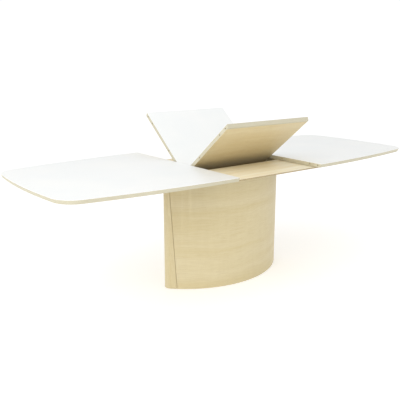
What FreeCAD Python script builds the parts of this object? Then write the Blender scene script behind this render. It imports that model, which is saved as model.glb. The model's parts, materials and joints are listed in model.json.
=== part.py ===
import FreeCAD, Part
import Sketcher
import math
import os
import re

# Extending dining table with a butterfly leaf, in millimetres.
# The origin is on the floor under the middle, X runs along the table, Y across it and Z up.
# The halves of the top are drawn open and the wings of the leaf half raised in a V.

driving = {
    # top
    "table_height": 740,
    "top_thickness": 22,
    "face_thickness": 1.5,      # white laminate on the upper side
    "top_width": 1000,          # at the cut edges
    "half_length": 957,         # one half, from its cut edge to the middle of its end
    "end_width": 825,           # where the long edges would meet the end
    "end_bulge": 30,            # how far the end bows out over that width
    "corner_radius": 124,
    "band_thickness": 18,       # solid wood edging of the long edges and the ends
    "edge_undercut": 8,         # how far its foot is drawn in
    "edge_upright": 2,          # of the edging above that slope
    "band_rounding": 2,         # of its lower edge
    "lipping_thickness": 3,     # edging of the cut edges
    "face_rounding": 0.5,       # of the laminate's upper edge
    "leaf_gap": 6,              # between a cut edge and the leaf
    # leaf
    "leaf_length": 606,
    "wing_gap": 1.6,            # between the two wings when they lie flat
    "veneer_thickness": 1,
    "rest_angle": 39.5,         # of each wing above the table
    "leaf_drop": 47,            # of the pivots below their place in the flat leaf
    "pivot_spread": 12,         # of each pivot line from the middle of the table
    "pivot_depth": 4,           # of the pivots below the white face
    "pin_radius": 2,
    "pin_clearance": 0.05,
    "link_inset": 90,           # of the outer link plates from the ends of the leaf
    "link_thickness": 6,
    "link_head_radius": 3.5,
    "link_slot_width": 7,
    "link_slot_depth": 16.5,
    "block_width": 30,
    "block_depth": 36,
    # alignment dowels
    "dowel_radius": 4,
    "dowel_reach": 5,
    "dowel_hold": 20,
    "dowel_tip": 1.5,
    "dowel_fit": 0.05,
    "socket_radius": 4.4,
    "socket_depth": 9,
    "dowel_outer": 26,          # from the long edge
    "dowel_middle": 86,
    "dowel_inner": 186,         # from the middle of the table
    # platform under the top
    "top_clearance": 1.5,
    "felt_thickness": 1.2,
    "felt_width": 20,
    "platform_thickness": 8,
    "front_setback": 46,        # of the platform's outer edges from those of the top
    "back_setback": 216,
    "platform_overlap": 65,     # beyond each end of the leaf
    "slot_width": 290,
    "slot_clearance": 12,
    # slides
    "rail_height": 29,
    "rail_width": 44,
    "rail_flange": 3,
    "rail_web": 4,
    "rail_overlap": 300,        # beyond each end of the leaf
    "rail_gap": 32,             # between the pedestal and a rail
    "runner_clearance": 0.6,
    "runner_inset": 22,         # behind the cut edge
    "runner_end_gap": 180,      # from the end of the top
    "runner_block_length": 60,
    "runner_block_margin": 5,
    "screw_radius": 3,
    "screw_head_radius": 6,
    "screw_head_height": 3,
    "screw_bite": 15,
    "screw_fit": 0.05,
    "arm_gap": 24,              # from the middle of a column to the middle of an arm
    "arm_width": 30,
    "arm_height": 15,
    "arm_overhang": 6,          # beyond the rail
    "arm_clearance": 0.5,
    # pedestal
    "pedestal_depth": 416,
    "heel_gap": 7,              # between an arm and the heel of an end post
    "tip_radius": 35,
    "shell_thickness": 12,
    "seam_foot": 43,            # from the tip of the pedestal to the seam, at the floor
    "seam_head": 10,            # and under the platform
    "seam_gap": 2.4,
    "post_heel": 64,            # depth of solid wood behind the tip
    "glide_height": 3,
    "glide_radius": 14,
    "glide_spacing": 150,       # from the middle, along the pedestal
    "glide_wall_gap": 88,
    "glide_tip_gap": 72,
    "base_thickness": 18,
    "board_clearance": 0.2,
    "collar_slot_width": 160,
    "collar_thickness": 18,
    # lift of the leaf
    "column_gap": 26,           # from the end of the leaf to the middle of a column
    "column_thickness": 12,
    "column_width": 30,
    "carriage_thickness": 36,
    "carriage_width": 46,
    "carriage_height": 90,
    "carriage_clearance": 0.3,
    "beam_depth": 98,           # of the beam's top below the pivots
    "beam_height": 40,
    "beam_width": 36,
    "link_foot_length": 44,
    "link_foot_thickness": 5,
    "foot_screw_spacing": 14,
    "foot_screw_radius": 2.5,
    "foot_screw_head": 4.5,
}

doc = FreeCAD.newDocument("ButterflyTable")
sheet = doc.addObject("Spreadsheet::Sheet", "Sizes")
for row, (alias, number) in enumerate(driving.items(), start=1):
    sheet.set(f"A{row}", alias)
    sheet.set(f"B{row}", str(number))
    sheet.setAlias(f"B{row}", alias)
doc.recompute()

origin = FreeCAD.Vector(0, 0, 0)
along_x = FreeCAD.Vector(1, 0, 0)
along_y = FreeCAD.Vector(0, 1, 0)
along_z = FreeCAD.Vector(0, 0, 1)
quarter_turn = 90
half_turn = 180
edge_match = 0.01

# Levels and places that follow from the sizes.
under_face = "(table_height - face_thickness)"
under_top = "(table_height - top_thickness)"
platform_top = f"({under_top} - top_clearance)"
platform_bottom = f"({platform_top} - platform_thickness)"
arm_top = f"({platform_bottom} - rail_height)"
arm_bottom = f"({arm_top} - arm_height)"
base_top = "(glide_height + base_thickness)"
shell_height = f"({platform_bottom} - glide_height)"
half_width = "(top_width/2)"
cut_edge = "(leaf_length/2 + leaf_gap)"
top_end = f"({cut_edge} + half_length)"
edge_bow = "((top_width - end_width)/2)"
side_radius = f"((half_length^2 + {edge_bow}^2)/(2*{edge_bow}))"
end_radius = "((end_width^2/4 + end_bulge^2)/(2*end_bulge))"
pivot_height = "(table_height - pivot_depth - leaf_drop)"
beam_top = f"({pivot_height} - beam_depth)"
dowel_height = "(table_height - top_thickness/2)"
dowel_lines = ["dowel_inner", f"({half_width} - dowel_middle)", f"({half_width} - dowel_outer)"]
leaf_end = "(leaf_length/2)"
slot_end = f"({leaf_end} + slot_clearance)"
platform_end = f"({leaf_end} + platform_overlap)"
column_place = f"({leaf_end} + column_gap)"
arm_place = f"({column_place} + arm_gap)"
heel = f"({arm_place} + arm_width/2 + heel_gap)"
pedestal_tip = f"({heel} + post_heel)"
tip_centre = f"({pedestal_tip} - tip_radius)"
wall_radius = (f"(({tip_centre}^2 + pedestal_depth^2/4 - tip_radius^2)"
               "/(pedestal_depth - 2*tip_radius))")
wall_centre = f"({wall_radius} - pedestal_depth/2)"
rail_place = "(pedestal_depth/2 + rail_gap + rail_width/2)"
arm_reach = f"({rail_place} + rail_width/2 + arm_overhang)"
link_place = f"({leaf_end} - link_inset)"
link_places = {"left": f"-{link_place}", "centre": "0", "right": link_place}
sides = {"front": -1, "back": 1}


def formula(text):
    # Every alias has an underscore, which tells it from a function of the expression.
    return re.sub(r"\b[a-z]+_\w+\b", lambda word: "Sizes." + word.group(0), str(text))


def bind(piece, sizes):
    for name, text in sizes.items():
        piece.setExpression(name, formula(text))
    return piece


def place(piece, x="0", y="0", z="0"):
    return bind(piece, {"Placement.Base.x": x, "Placement.Base.y": y, "Placement.Base.z": z})


def turn(piece, axis, degrees):
    piece.Placement = FreeCAD.Placement(origin, FreeCAD.Rotation(axis, degrees))
    return piece


def block(name, x, y, z):
    piece = doc.addObject("Part::Box", name)
    bind(piece, {"Length": f"({x[1]}) - ({x[0]})",
                 "Width": f"({y[1]}) - ({y[0]})",
                 "Height": f"({z[1]}) - ({z[0]})"})
    return place(piece, x[0], y[0], z[0])


def upright(name, radius, x, y, z):
    piece = doc.addObject("Part::Cylinder", name)
    bind(piece, {"Radius": radius, "Height": f"({z[1]}) - ({z[0]})"})
    return place(piece, x, y, z[0])


def lying(name, radius, x, y, z):
    piece = turn(doc.addObject("Part::Cylinder", name), along_y, quarter_turn)
    bind(piece, {"Radius": radius, "Height": f"({x[1]}) - ({x[0]})"})
    return place(piece, x[0], y, z)


def compound(name, pieces):
    piece = doc.addObject("Part::Compound", name)
    piece.Links = pieces
    return piece


def cut(name, base, tools):
    piece = doc.addObject("Part::Cut", name)
    piece.Base = base
    piece.Tool = tools[0] if len(tools) == 1 else compound(name + "_cuts", tools)
    return piece


def common(name, pieces):
    piece = doc.addObject("Part::MultiCommon", name)
    piece.Shapes = pieces
    return piece


def span(side, near, far):
    # From near to far on one side of the middle, lowest value first.
    return (near, far) if side > 0 else (f"-({far})", f"-({near})")


def centred(width, middle="0"):
    return (f"({middle}) - ({width})/2", f"({middle}) + ({width})/2")


def sketch_on(body, name, role, offset="0"):
    plane = next(item for item in body.Origin.OriginFeatures if item.Role == role)
    sketch = body.newObject("Sketcher::SketchObject", name)
    sketch.AttachmentSupport = [(plane, "")]
    sketch.MapMode = "FlatFace"
    return bind(sketch, {"AttachmentOffset.Base.z": offset})


def constrain(sketch, text, kind, *where):
    number = sketch.addConstraint(Sketcher.Constraint(kind, *where))
    sketch.setExpression(f"Constraints[{number}]", formula(text))


def draw_polygon(sketch, corners):
    count = len(corners)
    ring = []
    for number in range(count):
        angle = 2*math.pi*number/count
        ring.append(FreeCAD.Vector(math.cos(angle), math.sin(angle), 0))
    for number in range(count):
        sketch.addGeometry(Part.LineSegment(ring[number], ring[(number + 1) % count]), False)
    for number in range(count):
        sketch.addConstraint(Sketcher.Constraint("Coincident", number, 2, (number + 1) % count, 1))
    for number, (across, up) in enumerate(corners):
        constrain(sketch, across, "DistanceX", -1, 1, number, 1, ring[number].x)
        constrain(sketch, up, "DistanceY", -1, 1, number, 1, ring[number].y)


def draw_circle(sketch, radius, across, up):
    number = sketch.addGeometry(Part.Circle(origin, along_z, 1), False)
    constrain(sketch, radius, "Radius", number, 1)
    constrain(sketch, across, "DistanceX", -1, 1, number, 3, 1)
    constrain(sketch, up, "DistanceY", -1, 1, number, 3, 1)


def pad(body, sketch, length, midplane=False):
    feature = body.newObject("PartDesign::Pad", sketch.Name + "_pad")
    feature.Profile = sketch
    feature.Midplane = midplane
    return bind(feature, {"Length": length})


def pocket_through(body, sketch):
    feature = body.newObject("PartDesign::Pocket", sketch.Name + "_pocket")
    feature.Profile = sketch
    feature.Type = "ThroughAll"
    feature.Midplane = True
    return feature


def dress_edges(body, kind, wanted):
    # Takes the edges whose box, beside the box around all the edges, is the wanted kind.
    doc.recompute()
    base = body.Tip
    boxes = [edge.BoundBox for edge in base.Shape.Edges]
    whole = FreeCAD.BoundBox()
    for box in boxes:
        whole.add(box)
    edges = [f"Edge{number}" for number, box in enumerate(boxes, start=1) if wanted(box, whole)]
    feature = body.newObject(f"PartDesign::{kind}", f"{body.Name}_{kind}")
    feature.Base = (base, edges)
    return feature


def round_edges(body, radius, wanted):
    bind(dress_edges(body, "Fillet", wanted), {"Radius": radius})
    return body


def bevel_edges(body, wanted):
    # A steep slope that draws in the foot of the edging.
    bevel = dress_edges(body, "Chamfer", wanted)
    bevel.ChamferType = "Two distances"
    bind(bevel, {"Size": f"{under_face} - {under_top} - edge_upright", "Size2": "edge_undercut"})
    return body


def body_of(name, base):
    # The compound keeps the base where it has been placed.
    body = doc.addObject("PartDesign::Body", name)
    body.BaseFeature = compound(name + "_base", [base])
    return body


def is_upper(edge, whole):
    return edge.ZMin > whole.ZMax - edge_match


def is_lower_curve(edge, whole):
    # On the underside, past the straight line at the start.
    return edge.ZMax < whole.ZMin + edge_match and edge.XMax > whole.XMin + edge_match


subparts = []


def subpart(name, piece):
    piece.Label = name
    subparts.append(piece)
    return piece


# Pedestal: a boat-shaped box on glides, its long walls curved and its tips solid wood.

def arm_notches(name):
    boxes = []
    for side in (-1, 1):
        boxes.append(block(f"{name}_notch",
                           centred("arm_width + 2*arm_clearance", f"{side}*{arm_place}"),
                           centred(f"2*{arm_reach}"),
                           (f"{arm_bottom} - arm_clearance", f"{arm_top} + arm_clearance")))
    return boxes


def make_shell(name, degrees):
    outer = upright("wall_outside", wall_radius, "0", wall_centre, ("glide_height", platform_bottom))
    inner = upright("wall_inside", f"{wall_radius} - shell_thickness", "0", wall_centre,
                    ("glide_height", platform_bottom))
    wedge = turn(doc.addObject("Part::Wedge", "seam_wedge"), along_x, quarter_turn)
    foot = f"{pedestal_tip} - seam_foot - seam_gap/2"
    head = f"{pedestal_tip} - seam_head - seam_gap/2"
    bind(wedge, {"Xmin": f"-({foot})", "Xmax": foot, "X2min": f"-({head})", "X2max": head,
                 "Ymin": "0", "Ymax": shell_height,
                 "Zmin": "0", "Zmax": "pedestal_depth", "Z2min": "0", "Z2max": "pedestal_depth"})
    place(wedge, z="glide_height")
    wall = common("wall", [cut("wall_ring", outer, [inner]), wedge])
    shell = cut(name, wall, arm_notches(name))
    return subpart(name, turn(shell, along_z, degrees))


def draw_tip(sketch):
    # The tip between two curved walls, closed by a straight heel.
    heel_x = (sheet.leaf_length/2 + sheet.column_gap + sheet.arm_gap + sheet.arm_width/2
              + sheet.heel_gap)
    tip_x = heel_x + sheet.post_heel - sheet.tip_radius
    half_depth = sheet.pedestal_depth/2
    radius = ((tip_x**2 + half_depth**2 - sheet.tip_radius**2)
              / (2*(half_depth - sheet.tip_radius)))
    centre_y = radius - half_depth
    heel_y = math.sqrt(radius**2 - heel_x**2) - centre_y
    lean = math.atan2(centre_y, tip_x)
    heel_angle = math.atan2(heel_y + centre_y, heel_x)
    arcs = [(0, centre_y, radius, -heel_angle, -lean),
            (tip_x, 0, sheet.tip_radius, -lean, lean),
            (0, -centre_y, radius, lean, heel_angle)]
    for x, y, size, start, end in arcs:
        circle = Part.Circle(FreeCAD.Vector(x, y, 0), along_z, size)
        sketch.addGeometry(Part.ArcOfCircle(circle, start, end), False)
    front, tip, back = range(len(arcs))
    back_line = sketch.addGeometry(Part.LineSegment(FreeCAD.Vector(heel_x, heel_y, 0),
                                                    FreeCAD.Vector(heel_x, -heel_y, 0)), False)
    sketch.addConstraint([
        Sketcher.Constraint("Tangent", front, 2, tip, 1),
        Sketcher.Constraint("Tangent", tip, 2, back, 1),
        Sketcher.Constraint("Coincident", back, 2, back_line, 1),
        Sketcher.Constraint("Coincident", back_line, 2, front, 1),
        Sketcher.Constraint("Vertical", back_line),
        Sketcher.Constraint("PointOnObject", front, 3, -2),
        Sketcher.Constraint("PointOnObject", back, 3, -2),
        Sketcher.Constraint("PointOnObject", tip, 3, -1)])
    constrain(sketch, tip_centre, "DistanceX", -1, 1, tip, 3, tip_x)
    constrain(sketch, "tip_radius", "Radius", tip, sheet.tip_radius)
    constrain(sketch, wall_radius, "Radius", front, radius)
    constrain(sketch, wall_radius, "Radius", back, radius)
    constrain(sketch, heel, "DistanceX", -1, 1, back_line, 1, heel_x)


def inner_board(name, z, x):
    # A board that fills the plan of the pedestal inside its walls, over a length of it.
    reach = f"({wall_radius} - shell_thickness - board_clearance)"
    front = upright("board_front", reach, "0", wall_centre, z)
    back = upright("board_back", reach, "0", f"-{wall_centre}", z)
    middle = block("board_length", x, centred("pedestal_depth"), z)
    return common(name, [front, back, middle])


def make_end_post(name, degrees):
    body = doc.addObject("PartDesign::Body", "post_tip")
    outline = sketch_on(body, "tip_outline", "XY_Plane", "glide_height")
    draw_tip(outline)
    pad(body, outline, shell_height)
    seam = sketch_on(body, "seam_cut", "XZ_Plane")
    foot = f"{pedestal_tip} - seam_foot + seam_gap/2"
    head = f"{pedestal_tip} - seam_head + seam_gap/2"
    draw_polygon(seam, [("0", "glide_height"), (foot, "glide_height"),
                        (head, platform_bottom), ("0", platform_bottom)])
    pocket_through(body, seam)
    post = doc.addObject("Part::Fuse", name)
    post.Base = body
    post.Tool = inner_board("post_tongue", ("glide_height", platform_bottom),
                            (heel, pedestal_tip))
    return subpart(name, turn(post, along_z, degrees))


make_shell("front_shell", 0)
make_shell("back_shell", half_turn)
make_end_post("right_end_post", 0)
make_end_post("left_end_post", half_turn)
between_heels = centred(f"2*{heel}")
subpart("base_board", inner_board("base_board", ("glide_height", base_top), between_heels))
collar_z = (f"{arm_bottom} - collar_thickness", arm_bottom)
collar_holes = [block("collar_hole", centred("leaf_length + 2*slot_clearance"),
                      centred("collar_slot_width"), collar_z)]
for side in (-1, 1):
    collar_holes.append(block("column_mortise", centred("column_thickness + 2*board_clearance",
                                                        f"{side}*{column_place}"),
                              centred("column_width + 2*board_clearance"), collar_z))
collar = inner_board("collar_blank", collar_z, between_heels)
subpart("collar_board", cut("collar_board", collar, collar_holes))

glide_places = []
for side in (-1, 1):
    glide_places.append((f"{side}*({pedestal_tip} - glide_tip_gap)", "0"))
    for end in (-1, 1):
        glide_places.append((f"{end}*glide_spacing", f"{side}*(pedestal_depth/2 - glide_wall_gap)"))
subpart("floor_glides", compound("floor_glides", [
    upright("glide", "glide_radius", along, across, ("0", "glide_height"))
    for along, across in glide_places]))


# Frame on the pedestal: arms across it, slide rails along it and the platform around the slot.

for name, side in (("left_cross_arm", -1), ("right_cross_arm", 1)):
    subpart(name, block(name, centred("arm_width", f"{side}*{arm_place}"),
                        centred(f"2*{arm_reach}"), (arm_bottom, arm_top)))

for name, side in sides.items():
    body = doc.addObject("PartDesign::Body", f"{name}_slide_rail")
    section = sketch_on(body, "rail_section", "YZ_Plane")
    outside = "rail_width/2"
    web = "rail_web/2"
    shelf = "rail_flange"
    ceiling = "rail_height - rail_flange"
    draw_polygon(section, [
        (f"-{outside}", "0"), (outside, "0"), (outside, shelf), (web, shelf),
        (web, ceiling), (outside, ceiling), (outside, "rail_height"), (f"-{outside}", "rail_height"),
        (f"-{outside}", ceiling), (f"-{web}", ceiling), (f"-{web}", shelf), (f"-{outside}", shelf)])
    pad(body, section, "leaf_length + 2*rail_overlap", midplane=True)
    place(body, y=f"{side}*{rail_place}", z=arm_top)
    subpart(f"{name}_slide_rail", body)

platform_z = (platform_bottom, platform_top)
platform_spans = {}
for name, side in sides.items():
    platform_spans[name] = span(side, "slot_width/2", f"{half_width} - {name}_setback")
    subpart(f"{name}_platform",
            block(f"{name}_platform", centred(f"2*{platform_end}"), platform_spans[name],
                  platform_z))
for name, side in (("left", -1), ("right", 1)):
    subpart(f"{name}_platform_bridge",
            block(f"{name}_platform_bridge", span(side, slot_end, platform_end),
                  centred("slot_width"), platform_z))

felts = []
for side in (-1, 1):
    for across in platform_spans.values():
        felts.append(block("felt", span(side, f"{platform_end} - felt_width", platform_end),
                           across, (platform_top, f"{platform_top} + felt_thickness")))
subpart("platform_felts", compound("platform_felts", felts))


# Halves of the top. Both are drawn as the right half, and the left one is turned round.

def top_outline(name, inset, start, z):
    edges = []
    for side in (-1, 1):
        edges.append(upright("long_edge", f"{side_radius} - {inset}", cut_edge,
                             f"{side}*({side_radius} - {half_width})", z))
    edges.append(upright("end_edge", f"{end_radius} - {inset}",
                         f"{top_end} - {end_radius}", "0", z))
    edges.append(block("cut_line", (start, top_end), centred("top_width"), z))
    body = body_of(name, common(name + "_blank", edges))

    def is_corner(edge, whole):
        standing = edge.ZLength > edge.XLength + edge.YLength
        return standing and edge.XMin > whole.XMax - sheet.end_bulge - sheet.corner_radius

    return round_edges(body, f"corner_radius - {inset}", is_corner)


def make_dowel(edge, outward, y, z):
    # Glued into the edge, with a rounded-off tip that stands out of it.
    tip = f"{edge} + {outward}*dowel_reach"
    shoulder = f"{edge} + {outward}*(dowel_reach - dowel_tip)"
    root = f"{edge} - {outward}*dowel_hold"
    x = (root, shoulder) if outward > 0 else (shoulder, root)
    stem = lying("dowel_stem", "dowel_radius", x, y, z)
    nose = turn(doc.addObject("Part::Cone", "dowel_nose"), along_y, outward*quarter_turn)
    bind(nose, {"Radius1": "dowel_radius", "Radius2": "dowel_radius - dowel_tip/2",
                "Height": "dowel_tip"})
    place(nose, shoulder, y, z)
    dowel = doc.addObject("Part::Fuse", "dowel")
    dowel.Base = stem
    dowel.Tool = nose
    return dowel


def runner_lane(inner_groove, side):
    # Middle of the groove that a runner slides in, and its width.
    inward = -1 if inner_groove else 1
    lane = "(rail_web/2 + runner_clearance + rail_width/2)/2"
    return f"{side}*({rail_place} + {inward}*({lane}))"


def make_half_top(name, degrees, inner_groove, with_dowels):
    core_z = (under_top, under_face)
    lipping_end = f"({cut_edge} + lipping_thickness)"
    face = top_outline("laminate", "0", cut_edge, (under_face, "table_height"))
    core = top_outline("board", "band_thickness", lipping_end, core_z)
    rim = top_outline("rim", "0", cut_edge, core_z)
    filling = top_outline("filling", "band_thickness", f"{cut_edge} - band_thickness", core_z)
    strip = block("lipping_strip", (cut_edge, lipping_end), centred("top_width"), core_z)
    round_edges(face, "face_rounding", is_upper)
    bevel_edges(rim, is_lower_curve)
    round_edges(rim, "band_rounding", is_lower_curve)
    band = cut(f"{name}_edge_band", rim, [filling])

    holes = []
    dowels = []
    for side in (-1, 1):
        for line in dowel_lines:
            y = f"{side}*{line}"
            if with_dowels:
                holes.append(lying("dowel_hole", "dowel_radius + dowel_fit",
                                   (cut_edge, f"{cut_edge} + dowel_hold"), y, dowel_height))
                dowels.append(make_dowel(cut_edge, -1, y, dowel_height))
            else:
                holes.append(lying("socket", "socket_radius",
                                   (cut_edge, f"{cut_edge} + socket_depth"), y, dowel_height))

    groove_height = "(rail_height - 2*rail_flange)"
    runner_bottom = f"({arm_top} + rail_flange + runner_clearance)"
    runner_top = f"({runner_bottom} + {groove_height} - 2*runner_clearance)"
    runner_width = "(rail_width/2 - rail_web/2 - runner_clearance)"
    runners = {}
    spacers = []
    screws = []
    screw_holes = []
    head_holes = []
    blocks_at = (f"({platform_end} + {cut_edge} + runner_block_margin + runner_block_length/2)",
                 f"({top_end} - runner_end_gap - runner_block_length)")
    for end, side in sides.items():
        lane = runner_lane(inner_groove, side)
        runners[end] = block("runner", (f"{cut_edge} + runner_inset", f"{top_end} - runner_end_gap"),
                             centred(runner_width, lane), (runner_bottom, runner_top))
        for middle in blocks_at:
            spacers.append(block("runner_block", centred("runner_block_length", middle),
                                 centred(runner_width, lane), (runner_top, under_top)))
            shank = upright("screw_shank", "screw_radius", middle, lane,
                            (runner_bottom, f"{under_top} + screw_bite"))
            head_z = (runner_bottom, f"{runner_bottom} + screw_head_height")
            head = upright("screw_head", "screw_head_radius", middle, lane, head_z)
            screw = doc.addObject("Part::Fuse", "runner_screw")
            screw.Base = shank
            screw.Tool = head
            screws.append(screw)
            screw_holes.append(upright("screw_hole", "screw_radius + screw_fit", middle, lane,
                                       (runner_bottom, f"{under_top} + screw_bite + screw_fit")))
            head_holes.append(upright("head_hole", "screw_head_radius + screw_fit", middle, lane,
                                      head_z))

    front, back = ("back", "front") if degrees else ("front", "back")
    made = {
        f"{name}_face": face,
        f"{name}_core": cut(f"{name}_core", core, holes + screw_holes),
        f"{name}_edge_band": band,
        f"{name}_lipping": cut(f"{name}_lipping", common("lipping_blank", [strip, filling]), holes),
        f"{name}_{front}_runner": cut("runner_bar", runners["front"], screw_holes + head_holes),
        f"{name}_{back}_runner": cut("runner_bar", runners["back"], screw_holes + head_holes),
        f"{name}_runner_blocks": cut("runner_spacers", compound("spacers", spacers), screw_holes),
        f"{name}_runner_screws": compound("runner_screws", screws),
    }
    if with_dowels:
        made[f"{name}_dowels"] = compound("top_dowels", dowels)
    for label, piece in made.items():
        if degrees:
            turn(piece, along_z, degrees)
        subpart(label, piece)


make_half_top("left_top", half_turn, False, True)
make_half_top("right_top", 0, True, False)


# Wings of the leaf. Each is drawn flat about its own pivot line and then raised.

def make_wing(name, side):
    inner = "-(pivot_spread - wing_gap/2)"
    outer = f"({half_width} - pivot_spread)"
    under = "(pivot_depth - top_thickness)"
    face_low = "(pivot_depth - face_thickness)"
    veneer_top = f"({under} + veneer_thickness)"
    band_line = f"({outer} - band_thickness)"
    lipping_line = f"({leaf_end} - lipping_thickness)"

    def strip(label, x, low, high, z):
        return block(label, x, span(side, low, high), z)

    slots = []
    mortises = []
    blocks = []
    pins = []
    for middle in link_places.values():
        slots.append(strip("link_slot", centred("link_slot_width", middle), inner,
                           f"{inner} + link_slot_depth", (face_low, "pivot_depth")))
        mortises.append(strip("block_mortise", centred("block_width", middle), inner,
                              f"{inner} + block_depth", (under, face_low)))
        blocks.append(make_pivot_block(side, middle, inner, under, face_low))
        pins.append(lying("pivot_pin", "pin_radius", centred("block_width", middle), "0", "0"))

    holes = []
    dowels = []
    level = "(pivot_depth - top_thickness/2)"
    for line in dowel_lines:
        y = f"{side}*({line} - pivot_spread)"
        holes.append(lying("socket", "socket_radius", (f"-{leaf_end}", f"-{leaf_end} + socket_depth"),
                           y, level))
        holes.append(lying("dowel_hole", "dowel_radius + dowel_fit",
                           (f"{leaf_end} - dowel_hold", leaf_end), y, level))
        dowels.append(make_dowel(leaf_end, 1, y, level))

    whole = centred("leaf_length")
    core = strip("wing_core", centred(f"2*{lipping_line}"), inner, band_line, (veneer_top, face_low))
    face = body_of("wing_face", strip("face_sheet", whole, inner, outer, (face_low, "pivot_depth")))
    round_edges(face, "face_rounding", is_upper)
    band = doc.addObject("PartDesign::Body", "wing_band")
    section = sketch_on(band, "band_section", "YZ_Plane")
    draw_polygon(section, [(f"{side}*{band_line}", under),
                           (f"{side}*({outer} - edge_undercut)", under),
                           (f"{side}*{outer}", f"{face_low} - edge_upright"),
                           (f"{side}*{outer}", face_low), (f"{side}*{band_line}", face_low)])
    pad(band, section, "leaf_length", midplane=True)
    round_edges(band, "band_rounding", lambda edge, whole: (
        edge.XLength > 0 and is_lower_curve(edge, whole)
        and min(abs(edge.YMin), abs(edge.YMax)) > min(abs(whole.YMin), abs(whole.YMax)) + edge_match))
    veneer = strip("wing_veneer", whole, inner, band_line, (under, veneer_top))
    ends = []
    for end in (-1, 1):
        ends.append(strip("end_lipping", span(end, lipping_line, leaf_end), inner, band_line,
                          (veneer_top, face_low)))
    made = {
        f"{name}_core": [cut("wing_board", core, mortises + holes)],
        f"{name}_face": [cut("wing_laminate", face, slots)],
        f"{name}_veneer": [cut("wing_underside", veneer, mortises)],
        f"{name}_edge_band": [band],
        f"{name}_lippings": [cut("lippings", compound("lipping_pair", ends), holes)],
        f"{name}_pivot_blocks": blocks,
        f"{name}_pivot_pins": pins,
        f"{name}_dowels": dowels,
    }
    for label, pieces in made.items():
        raised = turn(compound(label, pieces), along_x, quarter_turn)
        place(raised, y=f"{side}*pivot_spread", z=pivot_height)
        bind(raised, {"Placement.Rotation.Angle": f"{side}*rest_angle"})
        subpart(label, raised)


def make_pivot_block(side, middle, inner, under, top):
    # A forked block let into the wing, with a bore across the fork for the pin.
    body = doc.addObject("PartDesign::Body", "pivot_block")
    plan = sketch_on(body, "fork_plan", "XY_Plane", under)
    wide = "block_width/2"
    gap = "link_slot_width/2"
    mouth = f"{side}*({inner})"
    throat = f"{side}*({inner} + link_slot_depth)"
    back = f"{side}*({inner} + block_depth)"
    draw_polygon(plan, [(wide, mouth), (wide, back), (f"-{wide}", back), (f"-{wide}", mouth),
                        (f"-{gap}", mouth), (f"-{gap}", throat), (gap, throat), (gap, mouth)])
    pad(body, plan, f"{top} - {under}")
    bore = sketch_on(body, "fork_bore", "YZ_Plane")
    draw_circle(bore, "pin_radius + pin_clearance", "0", "0")
    pocket_through(body, bore)
    return place(body, x=middle)


make_wing("near_wing", sides["front"])
make_wing("far_wing", sides["back"])


# Lift: link plates that carry the pivots, on a beam that runs up and down two columns.

def make_link_plate(name, middle):
    body = doc.addObject("PartDesign::Body", name)
    side_view = sketch_on(body, "plate_outline", "YZ_Plane")
    half = "(pivot_spread + link_head_radius)"
    draw_polygon(side_view, [(f"-{half}", "-beam_depth"), (half, "-beam_depth"),
                             (half, "link_head_radius"), (f"-{half}", "link_head_radius")])
    pad(body, side_view, "link_thickness", midplane=True)
    round_edges(body, "link_head_radius", lambda edge, whole: (
        edge.XLength > edge.YLength + edge.ZLength and is_upper(edge, whole)))
    foot = sketch_on(body, "plate_foot", "YZ_Plane")
    foot_top = "(link_foot_thickness - beam_depth)"
    draw_polygon(foot, [(f"-{half}", "-beam_depth"), (half, "-beam_depth"),
                        (half, foot_top), (f"-{half}", foot_top)])
    pad(body, foot, "link_foot_length", midplane=True)
    holes = sketch_on(body, "pivot_holes", "YZ_Plane")
    for side in (-1, 1):
        draw_circle(holes, "pin_radius + pin_clearance", f"{side}*pivot_spread", "0")
    pocket_through(body, holes)
    screw_holes = sketch_on(body, "foot_holes", "XY_Plane")
    for side in (-1, 1):
        draw_circle(screw_holes, "foot_screw_radius + screw_fit", f"{side}*foot_screw_spacing", "0")
    pocket_through(body, screw_holes)
    place(body, x=middle, z=pivot_height)
    return subpart(name, body)


beam_end = f"({column_place} - carriage_thickness/2)"
beam_blank = block("beam_blank", centred(f"2*{beam_end}"), centred("beam_width"),
                   (f"{beam_top} - beam_height", beam_top))
foot_screws = []
beam_holes = []
for name, middle in link_places.items():
    make_link_plate(f"{name}_link_plate", middle)
    for side in (-1, 1):
        x = f"{middle} + {side}*foot_screw_spacing"
        foot_top = f"{beam_top} + link_foot_thickness"
        shank = upright("foot_screw_shank", "foot_screw_radius", x, "0",
                        (f"{beam_top} - screw_bite", foot_top))
        head = upright("foot_screw_head", "foot_screw_head", x, "0",
                       (foot_top, f"{foot_top} + screw_head_height"))
        screw = doc.addObject("Part::Fuse", "foot_screw")
        screw.Base = shank
        screw.Tool = head
        foot_screws.append(screw)
        beam_holes.append(upright("foot_screw_hole", "foot_screw_radius + screw_fit", x, "0",
                                  (f"{beam_top} - screw_bite - screw_fit", beam_top)))
subpart("lift_beam", cut("lift_beam", beam_blank, beam_holes))
subpart("link_screws", compound("link_screws", foot_screws))

for name, side in (("left", -1), ("right", 1)):
    middle = f"{side}*{column_place}"
    column = block("column", centred("column_thickness", middle), centred("column_width"),
                   (base_top, arm_top))
    subpart(f"{name}_guide_column", column)
    carriage_z = (f"{beam_top} - carriage_height", beam_top)
    carriage = block("carriage", centred("carriage_thickness", middle),
                     centred("carriage_width"), carriage_z)
    bore = block("carriage_bore", centred("column_thickness + 2*carriage_clearance", middle),
                 centred("column_width + 2*carriage_clearance"), carriage_z)
    subpart(f"{name}_carriage", cut("carriage_block", carriage, [bore]))


doc.recompute()
for item in doc.Objects:
    if "Invalid" in item.State or "Error" in item.State:
        raise RuntimeError(f"{item.Name} did not build: {item.State}")
for piece in subparts:
    if piece.Shape.isNull() or not piece.Shape.isValid():
        raise RuntimeError(f"{piece.Label} has no valid shape")

os.makedirs("parts", exist_ok=True)
for piece in subparts:
    piece.Shape.exportStep(f"parts/{piece.Label}.step")
print(f"{len(subparts)} sub-parts written")
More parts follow.
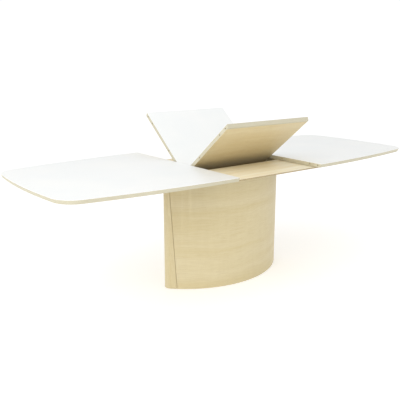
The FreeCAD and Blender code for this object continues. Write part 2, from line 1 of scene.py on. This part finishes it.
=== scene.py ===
import json
import math

import bmesh
import bpy
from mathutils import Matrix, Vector


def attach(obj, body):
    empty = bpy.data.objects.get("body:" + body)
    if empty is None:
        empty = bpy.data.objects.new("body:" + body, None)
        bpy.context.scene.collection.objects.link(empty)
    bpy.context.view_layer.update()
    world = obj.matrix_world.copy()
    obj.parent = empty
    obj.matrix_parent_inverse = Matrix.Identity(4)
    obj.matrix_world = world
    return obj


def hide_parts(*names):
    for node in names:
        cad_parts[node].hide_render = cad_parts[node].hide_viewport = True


# Extending dining table with a butterfly leaf: white laminate tops on a pale maple pedestal.
# X runs along the table, Y across it, Z up, in metres. The wings of the leaf are drawn half raised.

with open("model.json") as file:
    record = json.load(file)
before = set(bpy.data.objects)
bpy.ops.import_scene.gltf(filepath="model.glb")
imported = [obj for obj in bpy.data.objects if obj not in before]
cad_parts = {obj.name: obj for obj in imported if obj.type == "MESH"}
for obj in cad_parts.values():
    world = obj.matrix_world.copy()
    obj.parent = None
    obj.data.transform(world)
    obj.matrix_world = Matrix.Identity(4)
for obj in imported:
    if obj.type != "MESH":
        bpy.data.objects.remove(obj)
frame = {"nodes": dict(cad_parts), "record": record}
nodes = frame["nodes"]
record = frame["record"]
scene = bpy.context.scene
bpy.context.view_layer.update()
mm = 0.001
slotOf = {part["node"]: part["material_slot"] for part in record["subparts"]}
bodyOf = {name: body for body, names in record["behaviour"]["bodies"].items() for name in names}
print("frame loaded:", len(nodes), "nodes")


def linearColour(code):
    channels = [int(code[start:start + 2], 16)/255 for start in (0, 2, 4)]
    return tuple(c/12.92 if c <= 0.04045 else ((c + 0.055)/1.055)**2.4 for c in channels) + (1,)


def addNode(tree, kind, settings=None, links=None):
    node = tree.nodes.new(kind)
    for name, value in (settings or {}).items():
        if isinstance(name, str) and hasattr(node, name):
            setattr(node, name, value)
        else:
            node.inputs[name].default_value = value
    for name, source in (links or {}).items():
        tree.links.new(source, node.inputs[name])
    return node


def startMaterial(name):
    material = bpy.data.materials.new(name)
    material.use_nodes = True
    tree = material.node_tree
    tree.nodes.clear()
    return material, tree


def finishMaterial(tree, settings, links):
    shader = addNode(tree, "ShaderNodeBsdfPrincipled", settings, links)
    addNode(tree, "ShaderNodeOutputMaterial", None, {"Surface": shader.outputs["BSDF"]})


def sizedPattern(tree, place, size, detail=2, roughness=0.5):
    # A cloudy pattern whose spots are about the given size in mm along each axis; 0 leaves one out.
    scale = tuple(0 if not step else 1/(step*mm) for step in size)
    spread = addNode(tree, "ShaderNodeVectorMath", {"operation": "MULTIPLY", 1: scale}, {0: place})
    noise = addNode(tree, "ShaderNodeTexNoise",
                    {"Scale": 1, "Detail": detail, "Roughness": roughness},
                    {"Vector": spread.outputs[0]})
    return noise.outputs["Fac"]


def layTone(tree, under, over, pattern, low=0.0, high=1.0, amount=1.0):
    # Lays one tone over another as the pattern runs from low to high, at most by the amount.
    mask = addNode(tree, "ShaderNodeMapRange",
                   {"From Min": low, "From Max": high, "To Max": amount}, {"Value": pattern})
    mix = addNode(tree, "ShaderNodeMix", {"data_type": "RGBA"}, {0: mask.outputs["Result"]})
    for socket, tone in ((mix.inputs[6], under), (mix.inputs[7], over)):
        if isinstance(tone, str):
            socket.default_value = linearColour(tone)
        else:
            tree.links.new(tone, socket)
    return mix.outputs[2]


def roughSkin(tree, grain, values):
    # Roughness that follows the grain, and a relief of the given height in mm.
    roughness, swing = values["roughness"], values["swing"]
    spread = addNode(tree, "ShaderNodeMapRange",
                     {"To Min": roughness - swing, "To Max": roughness + swing}, {"Value": grain})
    bump = addNode(tree, "ShaderNodeBump",
                   {"Strength": values["strength"], "Distance": values["relief"]*mm},
                   {"Height": grain})
    return {"Roughness": spread.outputs["Result"], "Normal": bump.outputs["Normal"]}


# Maple, sliced or solid, in a matt lacquer: pale and close, with long soft streaks, fine fibres
# and short flecks. The lacquer gives the eye a broad soft sheen.
maple = {
    "pale": "D8CCA8",
    "middle": "D2C49A",
    "streak": "B7A06E",
    "fleck": "A78959",
    "bandSize": (1400, 70),     # along and across the grain
    "streakSize": (110, 4),
    "fibreSize": (60, 1.6),
    "curlSize": (26, 120),
    "fleckSize": (9, 0.9),
    "swaySize": (300, 120),
    "sway": 30,
    "streakAmount": 0.25,
    "fibreAmount": 0.22,
    "curlAmount": 0.05,
    "fleckAmount": 0.3,
    "bandRange": (0.35, 0.65),  # of the pattern, from no tone to the full one
    "streakRange": (0.47, 0.7),
    "fibreRange": (0.4, 0.75),
    "curlRange": (0.4, 0.65),
    "fleckRange": (0.68, 0.8),
    "roughness": 0.46,
    "swing": 0.06,              # of the roughness, either way
    "relief": 0.05,
    "strength": 0.35,           # of the relief
}
edging = {**maple, "pale": "CFC9B2", "middle": "C6C0A8", "streak": "B7AD8F", "fleck": "A0926C"}
wingVeneer = {**maple, "pale": "DFD1AB", "middle": "D8C69A", "streak": "BEA36E"}
beech = {**maple, "pale": "DDB98C", "middle": "D2A878", "streak": "BE9161", "fleck": "8E6239",
         "fleckAmount": 0.5}
coreBoard = {**maple, "pale": "CDBF9C", "middle": "C4B48C", "streak": "A89467"}


def makeWood(name, values=maple, turn=(0, 0, 0), thick=True, wrapped=False):
    # turn brings the grain onto X and the board's width onto Y of the pattern.
    material, tree = startMaterial(name)
    spot = addNode(tree, "ShaderNodeTexCoord")
    place = spot.outputs["Object"]
    if wrapped:
        # Edging runs round the top, so on the ends its grain lies along Y.
        side = addNode(tree, "ShaderNodeSeparateXYZ", None, {0: spot.outputs["Normal"]})
        steep = [addNode(tree, "ShaderNodeMath", {"operation": "ABSOLUTE"},
                         {0: side.outputs[axis]}).outputs[0] for axis in ("X", "Y")]
        onEnd = addNode(tree, "ShaderNodeMath", {"operation": "GREATER_THAN"},
                        {0: steep[0], 1: steep[1]})
        old = addNode(tree, "ShaderNodeSeparateXYZ", None, {0: place})
        swapped = addNode(tree, "ShaderNodeCombineXYZ", None,
                          {"X": old.outputs["Y"], "Y": old.outputs["X"], "Z": old.outputs["Z"]})
        choice = addNode(tree, "ShaderNodeMix", {"data_type": "VECTOR"},
                         {0: onEnd.outputs[0], 4: place, 5: swapped.outputs[0]})
        place = choice.outputs[1]
    board = addNode(tree, "ShaderNodeMapping",
                    {"Rotation": tuple(math.radians(angle) for angle in turn)},
                    {"Vector": place}).outputs["Vector"]

    def figure(place, key, detail, roughness=0.5):
        along, across = values[key]
        return sizedPattern(tree, place, (along, across, across if thick else 0), detail,
                            roughness)

    drift = addNode(tree, "ShaderNodeMath",
                    {"operation": "MULTIPLY_ADD", 1: values["sway"]*mm,
                     2: -values["sway"]*mm/2},
                    {0: figure(board, "swaySize", 1)})
    aside = addNode(tree, "ShaderNodeCombineXYZ", None, {"Y": drift.outputs[0]})
    grain = addNode(tree, "ShaderNodeVectorMath", {"operation": "ADD"},
                    {0: board, 1: aside.outputs[0]}).outputs[0]
    fibres = figure(grain, "fibreSize", 2)
    colour = layTone(tree, values["pale"], values["middle"], figure(grain, "bandSize", 2),
                     *values["bandRange"])
    for tone, key, pattern in (("streak", "streak", figure(grain, "streakSize", 3, 0.6)),
                               ("streak", "fibre", fibres),
                               ("streak", "curl", figure(board, "curlSize", 1)),
                               ("fleck", "fleck", figure(grain, "fleckSize", 0))):
        colour = layTone(tree, colour, values[tone], pattern, *values[key + "Range"],
                         values[key + "Amount"])
    skin = roughSkin(tree, fibres, values)
    finishMaterial(tree, {"IOR": 1.5}, {"Base Color": colour, **skin})
    return material


# High-pressure laminate on the tops: white, with a fine pebbled matt surface that glares softly.
laminate = {
    "white": "F6F7F5",
    "cloud": "F3F5F4",
    "cloudSize": (260, 260, 260),
    "cloudRange": (0.35, 0.65),
    "pebbleSize": (0.8, 0.8, 0.8),
    "roughness": 0.4,
    "swing": 0.06,
    "relief": 0.02,
    "strength": 0.25,
}


def makeLaminate(name, values=laminate):
    material, tree = startMaterial(name)
    spot = addNode(tree, "ShaderNodeTexCoord").outputs["Object"]
    clouds = sizedPattern(tree, spot, values["cloudSize"])
    colour = layTone(tree, values["white"], values["cloud"], clouds, *values["cloudRange"])
    skin = roughSkin(tree, sizedPattern(tree, spot, values["pebbleSize"], 1), values)
    finishMaterial(tree, {"IOR": 1.5}, {"Base Color": colour, **skin})
    return material


# Maple-faced plywood: wide soft figure on its faces, and sawn edges with darker glue lines between
# the plies; the edges' darker tone is partly their own and partly painted shade.
plywood = {
    "face": "F9F2DA",
    "figure": "EFE2BF",
    "edge": "B7A581",
    "glueLine": "91794E",
    "figureSize": (520, 34, 34),
    "figureRange": (0.4, 0.68),
    "fibreSize": (40, 1.6, 1.6),
    "fibreRange": (0.42, 0.75),
    "fibreAmount": 0.2,
    "ply": 1.4,
    "glueRange": (0.55, 0.75),  # of a ply's thickness
    "glueAmount": 0.5,
    "edgeRange": (0.45, 0.55),  # of the normal's rise, from an edge to a face
    "roughness": 0.5,
    "swing": 0.05,
    "relief": 0.05,
    "strength": 0.3,
}


def makePlywood(name, values=plywood):
    material, tree = startMaterial(name)
    spot = addNode(tree, "ShaderNodeTexCoord")
    place = spot.outputs["Object"]
    fibres = sizedPattern(tree, place, values["fibreSize"])
    colour = layTone(tree, values["face"], values["figure"],
                     sizedPattern(tree, place, values["figureSize"], 3, 0.6),
                     *values["figureRange"])
    colour = layTone(tree, colour, values["figure"], fibres, *values["fibreRange"],
                     values["fibreAmount"])
    height = addNode(tree, "ShaderNodeSeparateXYZ", None, {0: place}).outputs["Z"]
    ply = values["ply"]*mm
    layer = addNode(tree, "ShaderNodeMath", {"operation": "PINGPONG", 1: ply}, {0: height})
    glueLow, glueHigh = values["glueRange"]
    pliesAndShade = layTone(tree, values["edge"], values["glueLine"], layer.outputs[0],
                    glueLow*ply, glueHigh*ply, values["glueAmount"])
    # Upright faces take the edge tone: darker glue lines between the plies, and a darker tone that
    # is partly painted shade.
    facing = addNode(tree, "ShaderNodeSeparateXYZ", None, {0: spot.outputs["Normal"]})
    steep = addNode(tree, "ShaderNodeMath", {"operation": "ABSOLUTE"}, {0: facing.outputs["Z"]})
    colour = layTone(tree, pliesAndShade, colour, steep.outputs[0], *values["edgeRange"])
    skin = roughSkin(tree, fibres, values)
    finishMaterial(tree, {"IOR": 1.5}, {"Base Color": colour, **skin})
    return material


# Metals, plastics and felt of the fittings, each with its own grain, gloss and tint.
fittings = {
    # extruded and satin anodised: fine lines along the rail
    "anodisedAluminium": {"colour": "D2D3D4", "tint": "C6C8CA", "grain": (90, 0.5, 0.5),
                          "roughness": 0.34, "metallic": 1, "relief": 0.02},
    # black powder coat: low even gloss over a fine orange peel
    "powderCoatedSteel": {"colour": "26272A", "tint": "2C2D30", "grain": (1.2, 1.2, 1.2),
                          "roughness": 0.5, "metallic": 0, "relief": 0.05},
    # cast zinc: grey and slightly cloudy with a sandy skin
    "castZinc": {"colour": "9C9EA1", "tint": "8B8D90", "grain": (1.6, 1.6, 1.6),
                 "roughness": 0.46, "metallic": 1, "relief": 0.04},
    # zinc-plated steel: bright with a faint yellow-blue bloom
    "platedSteel": {"colour": "C9CBCC", "tint": "BDBCAE", "grain": (0.6, 0.6, 0.6),
                    "roughness": 0.28, "metallic": 1, "relief": 0.01},
    # moulded nylon: black with a dull spark-eroded skin
    "mouldedNylon": {"colour": "17181A", "tint": "1D1E20", "grain": (0.7, 0.7, 0.7),
                     "roughness": 0.52, "metallic": 0, "relief": 0.03},
    # moulded glides: dark brown plastic, scuffed
    "mouldedGlide": {"colour": "3A3632", "tint": "4A453F", "grain": (2, 2, 2),
                     "roughness": 0.6, "metallic": 0, "relief": 0.04},
    # pressed wool felt: no gloss, short matted hairs
    "pressedFelt": {"colour": "4A4B4D", "tint": "5A5B5D", "grain": (0.9, 0.9, 0.9),
                    "roughness": 0.9, "metallic": 0, "relief": 0.4},
}
wear = {
    "size": (60, 60, 60),
    "range": (0.35, 0.7),
    "swing": 0.08,
    "strength": 0.3,
}


def makeFitting(name, values):
    material, tree = startMaterial(name)
    spot = addNode(tree, "ShaderNodeTexCoord").outputs["Object"]
    colour = layTone(tree, values["colour"], values["tint"],
                     sizedPattern(tree, spot, wear["size"], 3), *wear["range"])
    skin = roughSkin(tree, sizedPattern(tree, spot, values["grain"], 2, 0.6),
                     {**wear, **values})
    settings = {"Metallic": 1} if values["metallic"] else {"IOR": 1.5}
    finishMaterial(tree, settings, {"Base Color": colour, **skin})
    return material


restAngle = 39.5
made = {name: makeFitting(name, values) for name, values in fittings.items()}
made["whiteLaminate"] = makeLaminate("whiteLaminate")
made["maplePlywood"] = makePlywood("maplePlywood")
# The curved walls: the figure is carried straight through the depth, so it isn't squeezed.
made["mapleWall"] = makeWood("mapleVeneerWall", turn=(90, 0, 0), thick=False)
made["mapleUpright"] = makeWood("solidMapleUpright", turn=(0, 90, 0))
for side, tilt in (("Near", restAngle), ("Far", -restAngle)):
    made[f"maple{side}Wing"] = makeWood(f"mapleVeneer{side}Wing", wingVeneer, (tilt, 0, 0), False)
    # A wing's lippings lie across it, and so does their grain.
    made[f"maple{side}Lipping"] = makeWood(f"solidMaple{side}Lipping", edging, (tilt, 0, 90))
made["mapleEdge"] = makeWood("solidMapleEdge", edging, wrapped=True)
made["bareBeech"] = makeWood("bareBeech", beech)
made["coreBoard"] = makeWood("veneeredBoard", coreBoard)

finishes = {
    "white_laminate": "whiteLaminate",
    "pedestal_veneer": "mapleWall",
    "underside_veneer": "mapleNearWing",
    "solid_edging": "mapleEdge",
    "platform_ply": "maplePlywood",
    "core_board": "coreBoard",
    "beech": "bareBeech",
    "rail_aluminium": "anodisedAluminium",
    "frame_steel": "powderCoatedSteel",
    "zinc_block": "castZinc",
    "bright_steel": "platedSteel",
    "black_nylon": "mouldedNylon",
    "felt": "pressedFelt",
    "glide_plastic": "mouldedGlide",
}
ownFinish = {
    "left_end_post": "mapleUpright",
    "right_end_post": "mapleUpright",
    "far_wing_veneer": "mapleFarWing",
    "near_wing_lippings": "mapleNearLipping",
    "far_wing_lippings": "mapleFarLipping",
}


def finishOf(name):
    return made[ownFinish.get(name, finishes[slotOf[name]])]


for name, node in nodes.items():
    node.data.materials.clear()
    node.data.materials.append(finishOf(name))
print("finishes:", len(made))


mergeDistance = 0.01*mm
flatAngle = math.radians(0.5)


def mergedCopy(name):
    # A merged copy of a frame node's mesh, its flat faces whole.
    form = bmesh.new()
    form.from_mesh(nodes[name].data)
    bmesh.ops.remove_doubles(form, verts=form.verts, dist=mergeDistance)
    bmesh.ops.dissolve_limit(form, angle_limit=flatAngle, verts=form.verts, edges=form.edges)
    return form


def standFor(name, form, suffix, crease=30):
    # Turns a form into the finished piece that stands for a frame node, on the node's body.
    bmesh.ops.recalc_face_normals(form, faces=form.faces)
    for face in form.faces:
        face.smooth = True
    for edge in form.edges:
        edge.smooth = len(edge.link_faces) == 2 and edge.calc_face_angle() < math.radians(crease)
    mesh = bpy.data.meshes.new(f"{name}_{suffix}")
    form.to_mesh(mesh)
    form.free()
    mesh.materials.append(finishOf(name))
    piece = bpy.data.objects.new(f"{name}_{suffix}", mesh)
    scene.collection.objects.link(piece)
    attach(piece, bodyOf[name])
    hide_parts(name)
    return piece


# Edges that a cutter, a press or sandpaper has taken the sharpness off, in mm.
softEdges = {
    1.2: ["front_platform", "back_platform"],
    0.8: ["left_platform_bridge", "right_platform_bridge", "left_cross_arm", "right_cross_arm",
          "left_guide_column", "right_guide_column", "front_shell", "back_shell",
          "left_end_post", "right_end_post"],
    1.5: ["lift_beam", "left_carriage", "right_carriage", "left_top_runner_blocks",
          "right_top_runner_blocks"],
    1.0: ["floor_glides"],
    0.5: ["platform_felts", "left_top_dowels", "near_wing_dowels", "far_wing_dowels"],
    0.4: ["front_slide_rail", "back_slide_rail", "left_link_plate", "centre_link_plate",
          "right_link_plate", "left_top_front_runner", "left_top_back_runner",
          "right_top_front_runner", "right_top_back_runner", "near_wing_pivot_blocks",
          "far_wing_pivot_blocks"],
}
softSteps = 2
sharpAngle = 40


def softenEdges(name, width):
    form = mergedCopy(name)
    edges = [edge for edge in form.edges if len(edge.link_faces) == 2
             and edge.calc_face_angle() > math.radians(sharpAngle)]
    bmesh.ops.bevel(form, geom=edges, affect="EDGES", offset=width*mm, offset_type="OFFSET",
                    segments=softSteps, profile=0.5, material=-1, clamp_overlap=True)
    standFor(name, form, "soft")


for width, names in softEdges.items():
    for name in names:
        softenEdges(name, width)
print("softened:", sum(len(names) for names in softEdges.values()))


# Hexagon-socket screws: a turned head with a rounded rim and a pressed socket, on a plain shank.
screws = {
    "link_screws": {"shank": 2.5, "headUp": True},
    "left_top_runner_screws": {"shank": 3, "headUp": False},
    "right_top_runner_screws": {"shank": 3, "headUp": False},
}
screwForm = {
    "head": 3,
    "rim": 0.6,
    "rimMiddle": 0.3,           # of the rim, from the head's side and top
    "tip": 0.8,
    "socketShare": 0.5,         # of the head's radius, to the flats
    "socketDepth": 1.8,
    "steps": 48,
    "crease": 35,
    "nearness": 0.001,          # mm, within which turned points are one
}


def looseBoxes(form):
    # The lowest and highest corner of each loose piece of a form.
    left = set(form.verts)
    boxes = []
    while left:
        reached = [left.pop()]
        island = []
        while reached:
            vert = reached.pop()
            island.append(vert.co)
            for edge in vert.link_edges:
                other = edge.other_vert(vert)
                if other in left:
                    left.remove(other)
                    reached.append(other)
        boxes.append([Vector(pick(spot[axis] for spot in island) for axis in range(3))
                      for pick in (min, max)])
    return sorted(boxes, key=lambda box: [round(value, 4) for value in box[0]])


def turnScrew(form, box, shank, headUp):
    low, high = box
    length = high.z - low.z
    head = (high.x - low.x)/2
    under = length - screwForm["head"]*mm
    socket = head*screwForm["socketShare"]
    floor = length - screwForm["socketDepth"]*mm
    nearness = screwForm["nearness"]*mm
    rim, tip = screwForm["rim"]*mm, screwForm["tip"]*mm
    rimMiddle = screwForm["rimMiddle"]*rim
    profile = [(0, 0), (shank - tip, 0), (shank, tip), (shank, under), (head, under),
               (head, length - rim), (head - rimMiddle, length - rimMiddle), (head - rim, length),
               (socket, length), (socket, floor), (0, floor)]
    verts = [form.verts.new((reach, 0, height)) for reach, height in profile]
    edges = [form.edges.new(pair) for pair in zip(verts, verts[1:])]
    bmesh.ops.spin(form, geom=verts + edges, cent=(0, 0, 0), axis=(0, 0, 1), angle=math.tau,
                   steps=screwForm["steps"], use_merge=True)
    sector = math.radians(60)
    for vert in form.verts:
        if abs(vert.co.xy.length - socket) < nearness:
            turned = math.atan2(vert.co.y, vert.co.x) % sector - sector/2
            vert.co.xy /= math.cos(turned)
    if not headUp:
        bmesh.ops.scale(form, verts=form.verts, vec=(1, 1, -1))
        bmesh.ops.translate(form, verts=form.verts, vec=(0, 0, length))
    middle = (low + high)/2
    bmesh.ops.translate(form, verts=form.verts, vec=(middle.x, middle.y, low.z))
    bmesh.ops.remove_doubles(form, verts=form.verts, dist=nearness)


for name, kind in screws.items():
    source = mergedCopy(name)
    whole = bpy.data.meshes.new("screwSet")
    for box in looseBoxes(source):
        single = bmesh.new()
        turnScrew(single, box, kind["shank"]*mm, kind["headUp"])
        part = bpy.data.meshes.new("screwPart")
        single.to_mesh(part)
        single.free()
        source.clear()
        source.from_mesh(whole)
        source.from_mesh(part)
        source.to_mesh(whole)
        bpy.data.meshes.remove(part)
    standFor(name, source, "turned", screwForm["crease"])
    bpy.data.meshes.remove(whole)
print("screws turned:", len(screws), "sets")


# Stage: a white floor lit from below that runs out of sight, a key light high on the left,
# a weak fill and a bright room.
studio = {
    "floor": "E4E4E4",
    "mottle": "E2E2E2",
    "mottleSize": (900, 900, 900),
    "floorGlow": 0.4,
    "floorRoughness": 0.9,
    "floorRadius": 60,
    "floorCorners": 96,
    "room": "FFFFFF",
    "horizonStrength": 1.05,    # up to lowRise, then falling to the strength overhead
    "overheadStrength": 0.85,
    "lowRise": 0.08,
    "highRise": 0.35,
    "keyPower": 80,
    "keySize": 3.0,
    "keyPlace": (-4.0, -1.8, 3.0),
    "fillPower": 1,
    "fillSize": 3.0,
    "fillPlace": (3.0, -2.0, 2.4),
    "aim": (0, 0, 0.5),
}


def aimed(holder, place, target):
    # Stands a lamp or a camera at its place, looking at its target.
    holder.location = place
    holder.rotation_euler = (Vector(target) - Vector(place)).to_track_quat("-Z", "Y").to_euler()
    scene.collection.objects.link(holder)
    return holder


def makeFloor():
    form = bmesh.new()
    bmesh.ops.create_circle(form, cap_ends=True, segments=studio["floorCorners"],
                           radius=studio["floorRadius"])
    mesh = bpy.data.meshes.new("floor")
    form.to_mesh(mesh)
    form.free()
    floor = bpy.data.objects.new("floor", mesh)
    scene.collection.objects.link(floor)
    material, tree = startMaterial("paleFloor")
    spot = addNode(tree, "ShaderNodeTexCoord").outputs["Object"]
    colour = layTone(tree, studio["floor"], studio["mottle"],
                     sizedPattern(tree, spot, studio["mottleSize"]))
    finishMaterial(tree, {"Roughness": studio["floorRoughness"],
                          "Emission Strength": studio["floorGlow"],
                          "Emission Color": linearColour(studio["room"])},
                   {"Base Color": colour})
    mesh.materials.append(material)


def makeLights():
    for name in ("key", "fill"):
        lamp = bpy.data.lights.new(name, "AREA")
        lamp.energy = studio[name + "Power"]
        lamp.size = studio[name + "Size"]
        aimed(bpy.data.objects.new(name, lamp), studio[name + "Place"], studio["aim"])
    world = bpy.data.worlds.new("room")
    world.use_nodes = True
    sky = world.node_tree
    background = sky.nodes["Background"]
    background.inputs["Color"].default_value = linearColour(studio["room"])
    direction = addNode(sky, "ShaderNodeTexCoord").outputs["Generated"]
    rise = addNode(sky, "ShaderNodeSeparateXYZ", None, {0: direction}).outputs["Z"]
    strength = addNode(sky, "ShaderNodeMapRange", {"From Min": studio["lowRise"],
                                                   "From Max": studio["highRise"],
                                                   "To Min": studio["horizonStrength"],
                                                   "To Max": studio["overheadStrength"]},
                       {"Value": rise})
    sky.links.new(strength.outputs["Result"], background.inputs["Strength"])
    scene.world = world
    scene.view_settings.view_transform = "Standard"


makeFloor()
makeLights()
print("stage set")

view = {
    "place": (-2.1735, -2.6163, 1.336),
    "target": (-0.1838, 0, 0.5029),
    "lens": 50.78,
    "sensor": 36,
}
camera = bpy.data.cameras.new("camera")
camera.lens = view["lens"]
camera.sensor_width = view["sensor"]
scene.camera = aimed(bpy.data.objects.new("camera", camera), view["place"], view["target"])
print("camera placed")
